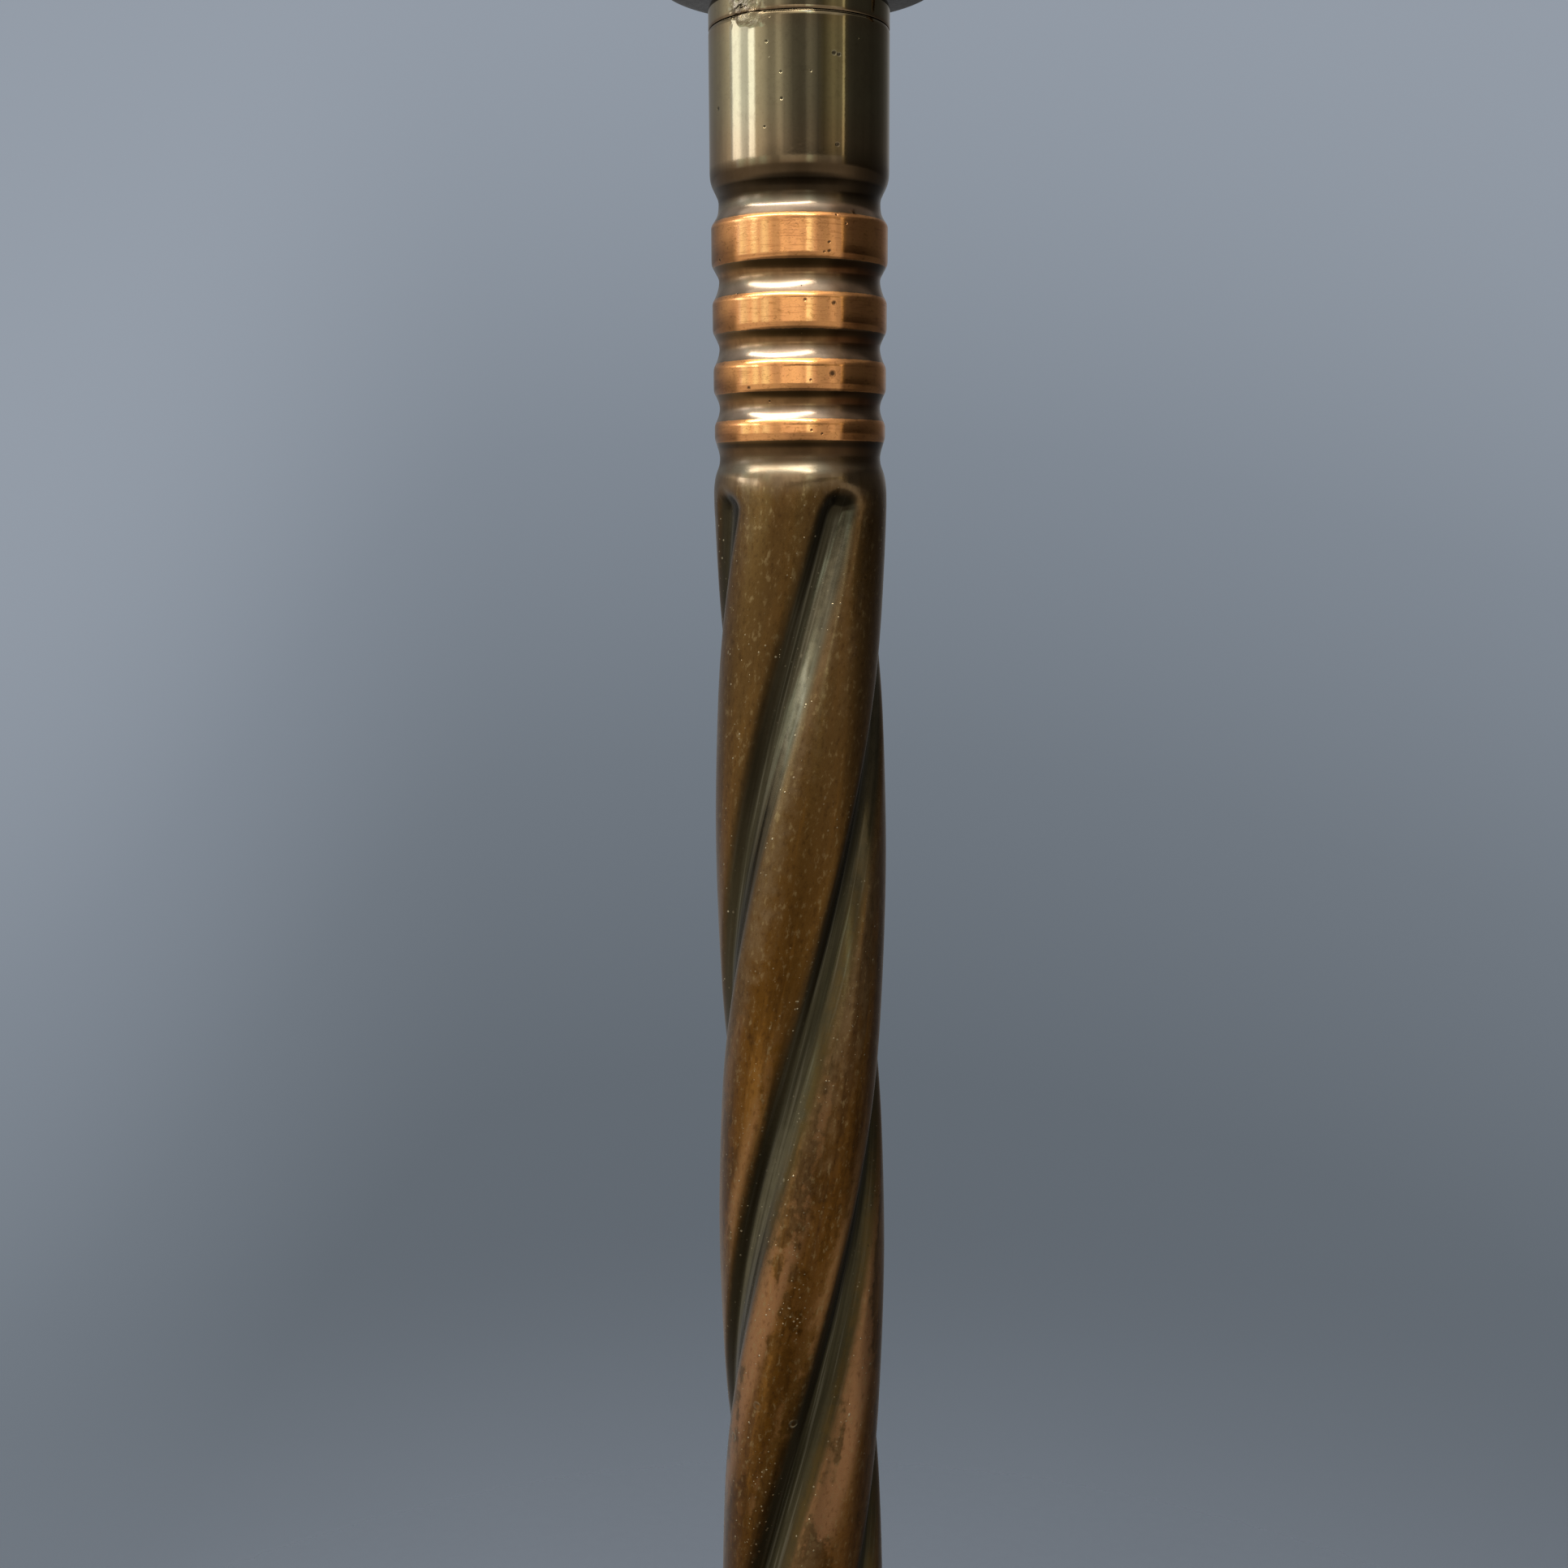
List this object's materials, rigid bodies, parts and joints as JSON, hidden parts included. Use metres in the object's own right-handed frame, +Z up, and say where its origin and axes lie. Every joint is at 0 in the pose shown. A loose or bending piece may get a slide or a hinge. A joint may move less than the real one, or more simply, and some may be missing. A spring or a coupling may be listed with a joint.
{
  "type": "table lamp",
  "caption": "Table lamp: weighted round foot, rubbed copper-bronze tube stem with rolled rings and twisted flutes, black screw lampholder with a turn switch and a shade ring.",
  "frame": {"origin": "middle of the underside of the foot's felt pad", "axes": "+Z up along the stem, -Y the front that the picture shows, +Y the cord's inlet, +X the switch key"},
  "size_m": [0.16, 0.16, 0.404],
  "materials": {
    "rubbed_copper": "old bronze patina rubbed through to copper on the rings and the lands, lacquered",
    "patinated_bronze": "olive-brown bronze patina, lacquered",
    "plain_brass": "dull brass",
    "zinc_steel": "zinc plated",
    "cast_iron": "rough casting",
    "black_phenolic": "moulded phenolic, worn gloss",
    "steatite": "unglazed steatite",
    "green_felt": "pressed wool felt",
    "black_rubber": "moulded rubber"
  },
  "bodies": {
    "lamp": {"felt_pad": "green_felt", "bottom_plate": "zinc_steel", "plate_screw_1": "zinc_steel", "plate_screw_2": "zinc_steel", "plate_screw_3": "zinc_steel", "base_shell": "patinated_bronze", "base_weight": "cast_iron", "cord_grommet": "black_rubber", "base_washer": "zinc_steel", "base_lock_washer": "zinc_steel", "base_nut": "zinc_steel", "foot_ferrule": "patinated_bronze", "fluted_stem": "rubbed_copper", "threaded_rod": "zinc_steel", "lower_bush": "black_phenolic", "tube_cap": "rubbed_copper", "clamp_nut": "plain_brass", "lampholder_cap": "black_phenolic", "entry_nut": "zinc_steel", "terminal_block": "steatite", "terminal_screw_1": "plain_brass", "terminal_screw_2": "plain_brass", "centre_contact": "plain_brass", "side_contact": "plain_brass", "screw_shell": "plain_brass", "lampholder_skirt": "black_phenolic", "switch_bush": "plain_brass", "switch_leaf": "plain_brass"},
    "switch": {"switch_key": "patinated_bronze", "switch_spindle": "plain_brass", "switch_cam": "steatite"},
    "shade_nut": {"shade_ring": "black_phenolic"}
  },
  "joints": [
    {"name": "switch_turn", "type": "hinge", "parent": "lamp", "child": "switch", "pos_m": [0.025, 0, 0.3586], "axis": [1, 0, 0], "continuous": true},
    {"name": "shade_ring_travel", "type": "slide", "parent": "lamp", "child": "shade_nut", "axis": [0, 0, 1], "range_m": [0, 0.018]}
  ]
}
